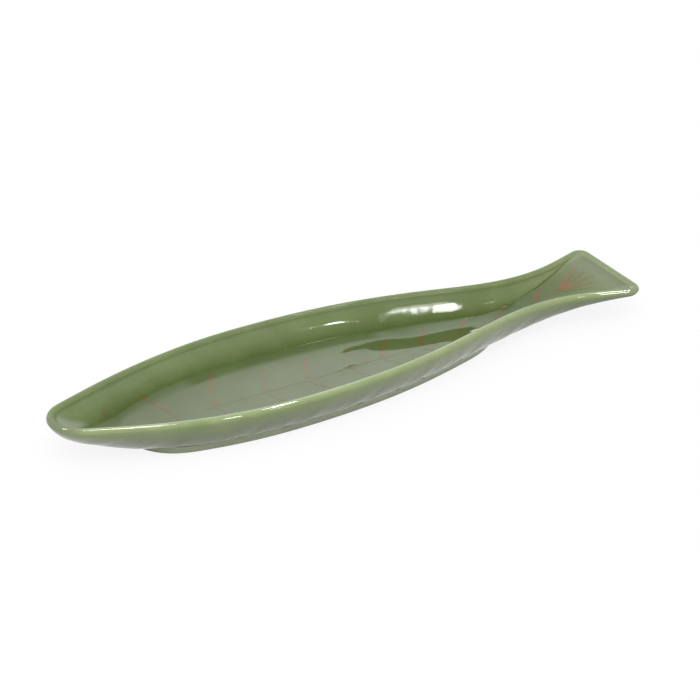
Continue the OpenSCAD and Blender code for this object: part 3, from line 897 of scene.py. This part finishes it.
def film(path, widths, strength, rng, rise=0.0):
    """Points, faces and values of one brushed film along a path."""
    along = unit(np.gradient(path, axis=0))
    aside = np.stack([-along[:, 1], along[:, 0]], 1)
    count, rows = len(path), len(FILM_ROWS)

    def uneven_half():
        rough = rng.standard_normal(count + SMOOTH_POINTS - 1)
        smooth = np.convolve(rough, np.ones(SMOOTH_POINTS) / SMOOTH_POINTS, "valid")
        return widths / 2 * (1 + UNEVEN * smooth)

    left, right = uneven_half(), uneven_half()
    points, across, places = [], [], []
    for lift in (FILM_GAP, FILM_GAP + FILM_T):
        for share in FILM_ROWS:
            p = path + aside * (left if share > 0 else right)[:, None] * share
            points.append(on_bowl(p, lift + rise))
            across.append(np.full(count, abs(share)))
            places.append(bowl_place(p))

    def at(level, row, i):
        return (level * rows + row) * count + i

    faces = []
    end, brim = count - 1, rows - 1
    for i in range(end):
        for r in range(brim):
            faces.append([at(1, r, i), at(1, r, i + 1), at(1, r + 1, i + 1), at(1, r + 1, i)])
            faces.append([at(0, r, i), at(0, r + 1, i), at(0, r + 1, i + 1), at(0, r, i + 1)])
        faces.append([at(0, 0, i), at(0, 0, i + 1), at(1, 0, i + 1), at(1, 0, i)])
        faces.append([at(1, brim, i), at(1, brim, i + 1), at(0, brim, i + 1), at(0, brim, i)])
    for r in range(brim):
        faces.append([at(0, r, 0), at(1, r, 0), at(1, r + 1, 0), at(0, r + 1, 0)])
        faces.append([at(0, r, end), at(0, r + 1, end), at(1, r + 1, end), at(1, r, end)])
    values = [np.concatenate(across), np.tile(strength, 2 * rows), np.concatenate(places)]
    return np.vstack(points), faces, values


def films(name, parts):
    """One painted piece from its films."""
    faces, start = [], 0
    for points, part_faces, _ in parts:
        faces += [[k + start for k in face] for face in part_faces]
        start += len(points)
    points = np.vstack([part[0] for part in parts])
    across, strong, places = (np.concatenate(rows) for rows in zip(*(part[2] for part in parts)))
    values = {"across": across, "along": strong, "thin_and_sheen": np.ones(len(points)), **glaze_values(points, places)}
    return new_mesh(name, points, faces, values, BRUSH, FILM_SHARP_DEG)


def brush(t):
    """Width of a brush mark along its length: fuller after its start, thinner at its end."""
    return 1.0 + BRUSH_SWELL * np.sin(math.pi * t) - BRUSH_TAPER * t ** 2


def stroke(a, b, c, width, rng, load, fading=FADING, lift=0.0):
    """A film along a bend from a to c that is drawn toward b, with colour that fades along it."""
    t = np.linspace(0, 1, STROKE_POINTS)
    path = bezier(np.array(a, float), np.array(b, float), np.array(c, float), t)
    strength = load * (START_LOAD - fading * t ** FADING_POWER)
    return film(path, BRUSH_SPREAD * width * brush(t), strength, rng, lift)


def build_eye():
    t = 2 * math.pi * np.arange(EYE_POINTS) / EYE_POINTS
    n = len(t)
    centre = np.array([[EYE_X, float(rim_in_w(EYE_X)) - EYE_RIM_GAP]])
    outline = EYE_D / 2 * (1 + sines(t, EYE_WOBBLE))[:, None] * np.stack([np.cos(t), np.sin(t)], 1)
    top = FILM_GAP + FILM_T
    rings, across, places = [], [], []
    steps = [(1.0, FILM_GAP), (1.0, top), *((share, top) for share in EYE_SHARES), (0, top), (0, FILM_GAP)]
    for share, lift in steps:
        p = centre + outline * share if share else centre
        rings.append(on_bowl(p, lift))
        across.append(np.full(len(p), share))
        places.append(bowl_place(p))
    full = len(rings) - 2
    upper, lower = full * n, full * n + 1
    faces = ring_faces(full, n)
    faces += [[upper - n + i, upper - n + (i + 1) % n, upper] for i in range(n)]
    faces += [[(i + 1) % n, i, lower] for i in range(n)]
    points = np.vstack(rings)
    values = {"across": np.concatenate(across), "along": np.full(len(points), EYE_LOAD),
              "profile": np.concatenate(places), "thin_and_sheen": np.ones(len(points))}
    return new_mesh("painted_eye", points, faces, values, OCHRE, FILM_SHARP_DEG)


def build_strokes():
    rng = np.random.default_rng(7)
    made = {"eye_dot": build_eye()}

    t = np.linspace(-1, 1, GILL_POINTS)
    reach = float(rim_in_w(GILL_X - GILL_SWEEP)) - GILL_RIM_GAP
    path = np.stack([GILL_X - GILL_SWEEP * t * t, reach * t], 1)
    strength = GILL_LOAD + GILL_PEAK_GAIN * bell(t, *GILL_PEAK) - GILL_END_LOSS * np.abs(t)
    made["gill_stroke"] = films("painted_gill", [film(path, GILL_W * brush(np.abs(t)), strength, rng)])

    t = np.linspace(0, 1, SPINE_POINTS)
    path = np.stack([SPINE_START + (SPINE_END - SPINE_START) * t, sines(t, SPINE_SWAY)], 1)
    strength = SPINE_LOAD * (SPINE_MARKS_MEAN + sines(t, SPINE_MARKS)) * (1 + SPINE_LOAD_GAIN * t)
    made["spine_stroke"] = films("painted_spine", [film(path, SPINE_W * brush(t / 2), strength, rng)])

    last_rib_x = SPINE_END - LAST_RIB_GAP
    bend_x = RIB_SWEEP * RIB_BEND_X
    for i, (place, share, load) in enumerate(zip(RIB_PLACE, RIB_REACH, RIB_LOAD), 1):
        root_x = FIRST_RIB_X + (last_rib_x - FIRST_RIB_X) * place
        tip_x = root_x + RIB_SWEEP
        tip_y = share * float(half_w(tip_x))
        bend_y = tip_y * RIB_BEND_Y
        root_y = SPINE_W / 2 + RIB_GAP + RIB_W / 2 * bend_x / math.hypot(bend_x, bend_y)
        parts = [
            stroke((root_x, side * root_y), (root_x + bend_x, side * bend_y), (tip_x, side * tip_y),
                   RIB_W, rng, load * side_load)
            for side, side_load in ((1, 1.0), (-1, NEAR_RIB_SHARE))
        ]
        made[f"rib_stroke_{i}"] = films(f"painted_rib_{i}", parts)

    hub = np.array([SPINE_END, 0])
    for i, (share, load) in enumerate(zip(FAN_SHARES, FAN_LOAD)):
        angle = math.radians(FAN_SPREAD * (i / (len(FAN_SHARES) - 1) - 0.5))
        way = np.array([math.cos(angle), math.sin(angle)])
        root, tip = hub + way * FAN_HUB, hub + way * FAN_LEN * share
        mark = stroke(root, (root + tip) / 2, tip, FAN_W, rng, load, FAN_FADING, FAN_STEP * i)
        made[f"tail_stroke_{i + 1}"] = films(f"painted_tail_{i + 1}", [mark])
    return made


dish = build_dish()
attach(dish, "root")
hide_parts("dish_body")
foot = build_foot()
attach(foot, "root")
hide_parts("foot_ring")
for node_name, piece in build_strokes().items():
    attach(piece, "root")
    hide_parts(node_name)


# Camera, placed by the photograph's perspective; its target is in metres from the middle of the platter

AZIMUTH, ELEVATION = math.radians(30.6377), math.radians(29.2563)
TARGET = np.array([8.40, 13.722, 14.903]) * MM
DISTANCE = 1572.33 * MM
FOCAL_PX, FRAME_PX, SENSOR_MM = 2200.0, 700.0, 36.0
CLIP_START, CLIP_END = 0.05, 60


def aimed(name, data, position, forward, upward):
    """An object at a position that looks forward, with its top toward upward."""
    back = -forward
    side = np.cross(upward, back)
    side = side / np.linalg.norm(side)
    upward = np.cross(back, side)
    rotation = Matrix([[side[k], upward[k], back[k]] for k in range(3)])
    thing = bpy.data.objects.new(name, data)
    thing.matrix_world = Matrix.Translation(position.tolist()) @ rotation.to_4x4()
    bpy.context.scene.collection.objects.link(thing)
    return thing


def build_camera():
    right = np.array([math.cos(AZIMUTH), -math.sin(AZIMUTH), 0.0])
    ahead = np.array([
        math.sin(AZIMUTH) * math.cos(ELEVATION), math.cos(AZIMUTH) * math.cos(ELEVATION),
        -math.sin(ELEVATION)])
    lens = bpy.data.cameras.new("camera")
    lens.sensor_width = SENSOR_MM
    lens.lens = FOCAL_PX / FRAME_PX * SENSOR_MM
    lens.clip_start, lens.clip_end = CLIP_START, CLIP_END
    return aimed("camera", lens, TARGET - ahead * DISTANCE, ahead, np.cross(right, ahead))


bpy.context.scene.camera = build_camera()


# Lamps. The gloss alone shows the window with its side pane, the spark on the far wall, the light in the nose
# and the two ceiling strips; the key panel alone lights the platter, with the world.

LAMP_CENTRE = np.array([0.05, 0.0, 0.02])

# Name, azimuth, elevation, lean, distance, width, height, radiance and shape, in degrees and metres
GLOSS_LAMPS = [
    ("window_main", 172.3, 38.8, 16.0, 16.0, 0.84, 6.0, 19, "ELLIPSE"),
    ("window_side", 176.3, 30.0, 8.0, 16.0, 0.30, 3.6, 6, "RECTANGLE"),
    ("spark", 159.8, 39.8, 0.0, 16.0, 1.3, 1.3, 24, "ELLIPSE"),
    ("nose_light", 328.0, 64.0, 90.0, 8.0, 1.2, 2.6, 26, "RECTANGLE"),
    ("ceiling_main", 90.0, 85.5, 90.0, 8.0, 0.50, 2.2, 40, "RECTANGLE"),
    ("ceiling_side", 90.0, 70.0, 90.0, 8.0, 0.50, 2.2, 44, "RECTANGLE"),
]
KEY_LAMP = ("key_panel", 215.0, 55.0, 0.0, 2.0, 1.2, 1.0, 3.0, "RECTANGLE")


def lamp(name, azimuth, elevation, lean, distance, width, height, radiance, shape):
    a, e, r = math.radians(azimuth), math.radians(elevation), math.radians(lean)
    way = np.array([math.sin(a) * math.cos(e), math.cos(a) * math.cos(e), math.sin(e)])
    aside = np.array([-math.cos(a), math.sin(a), 0.0])
    upward = np.cross(way, aside) * math.cos(r) + aside * math.sin(r)
    data = bpy.data.lights.new(name, "AREA")
    data.shape = shape
    data.size, data.size_y = width, height
    area = width * height * (math.pi / 4 if shape == "ELLIPSE" else 1)
    data.energy = radiance * math.pi * area
    return aimed(name, data, LAMP_CENTRE + way * distance, -way, upward)


for row in GLOSS_LAMPS:
    lamp(*row).visible_diffuse = False
lamp(*KEY_LAMP).visible_glossy = False


# World and floor. What the gloss mirrors is a bright backdrop behind the platter, more so to the right, and a
# dark ceiling and room; what the camera sees is white.

# Brightness of the backdrop from left to right, and of the room from the horizon up
BACKDROP_STOPS = [
    (0.4, 0.5), (0.5, 0.7), (0.6, 0.85), (0.66, 1.05), (0.685, 1.5), (0.71, 1.7),
    (0.729, 1.66), (0.748, 1.15), (0.77, 0.95),
]
ROOM_STOPS = [(0.0, 0.75), (0.25, 0.5), (0.6, 0.22)]
BACKDROP_RANGE = (0.02, 0.42)
SOFT_LIGHT, SEEN_LIGHT = 0.75, 1.0
FLOOR_LIT, FLOOR_GLOW = (0.85, 0.85, 0.85, 1), 0.86
FLOOR_FAINT = (0.165, 0.165, 0.168, 1)
FLOOR_HALF, FLOOR_CELLS = 6.0, 12


def build_world():
    world = bpy.data.worlds.new("studio")
    bpy.context.scene.world = world
    world.use_nodes = True
    tree = world.node_tree
    tree.nodes.clear()
    rays = tree.nodes.new("ShaderNodeLightPath").outputs
    coords = tree.nodes.new("ShaderNodeTexCoord").outputs["Generated"]
    way = node(tree, "ShaderNodeSeparateXYZ", Vector=coords).outputs
    bright = ramp(tree, BACKDROP_STOPS, times(tree, plus(tree, way["X"], 1.0), 0.5))
    room = ramp(tree, ROOM_STOPS, way["Z"])
    away = map_range(tree, way["Y"], *BACKDROP_RANGE, "SMOOTHSTEP")
    white = four(1.0)
    soft = node(tree, "ShaderNodeBackground", Strength=SOFT_LIGHT, Color=white)
    seen = node(tree, "ShaderNodeBackground", Strength=SEEN_LIGHT, Color=white)
    shiny = node(tree, "ShaderNodeBackground", Strength=1.0, Color=mixed(tree, away, room, bright))
    lit = mix_shaders(tree, rays["Is Glossy Ray"], soft, shiny)
    shown = mix_shaders(tree, rays["Is Camera Ray"], lit, seen)
    node(tree, "ShaderNodeOutputWorld", Surface=shown.outputs[0])


def floor_material():
    """Plain pale floor: camera and gloss see it almost white, with the platter's soft shadow."""
    material = bpy.data.materials.new("studio_floor")
    material.use_nodes = True
    tree = material.node_tree
    tree.nodes.clear()
    rays = tree.nodes.new("ShaderNodeLightPath").outputs
    lit = node(tree, "ShaderNodeBsdfDiffuse", Roughness=0.5, Color=FLOOR_LIT)
    faint = node(tree, "ShaderNodeBsdfDiffuse", Roughness=0.5, Color=FLOOR_FAINT)
    glow = node(tree, "ShaderNodeEmission", Strength=FLOOR_GLOW)
    shown = tree.nodes.new("ShaderNodeAddShader")
    put(tree, glow.outputs[0], shown.inputs[0])
    put(tree, faint.outputs[0], shown.inputs[1])
    direct = maths(tree, "MAXIMUM", rays["Is Camera Ray"], rays["Is Glossy Ray"])
    node(tree, "ShaderNodeOutputMaterial", Surface=mix_shaders(tree, direct, lit, shown).outputs[0])
    return material


def build_floor():
    side = FLOOR_CELLS + 1
    spots = np.linspace(-FLOOR_HALF, FLOOR_HALF, side).tolist()
    points = [(x, y, 0.0) for y in spots for x in spots]
    corners = [j * side + i for j in range(FLOOR_CELLS) for i in range(FLOOR_CELLS)]
    faces = [(k, k + 1, k + side + 1, k + side) for k in corners]
    mesh = bpy.data.meshes.new("studio_floor")
    mesh.from_pydata(points, [], faces)
    mesh.materials.append(floor_material())
    ground = bpy.data.objects.new("studio_floor", mesh)
    bpy.context.scene.collection.objects.link(ground)
    return ground


build_world()
build_floor()
bpy.context.scene.view_settings.view_transform = "Standard"
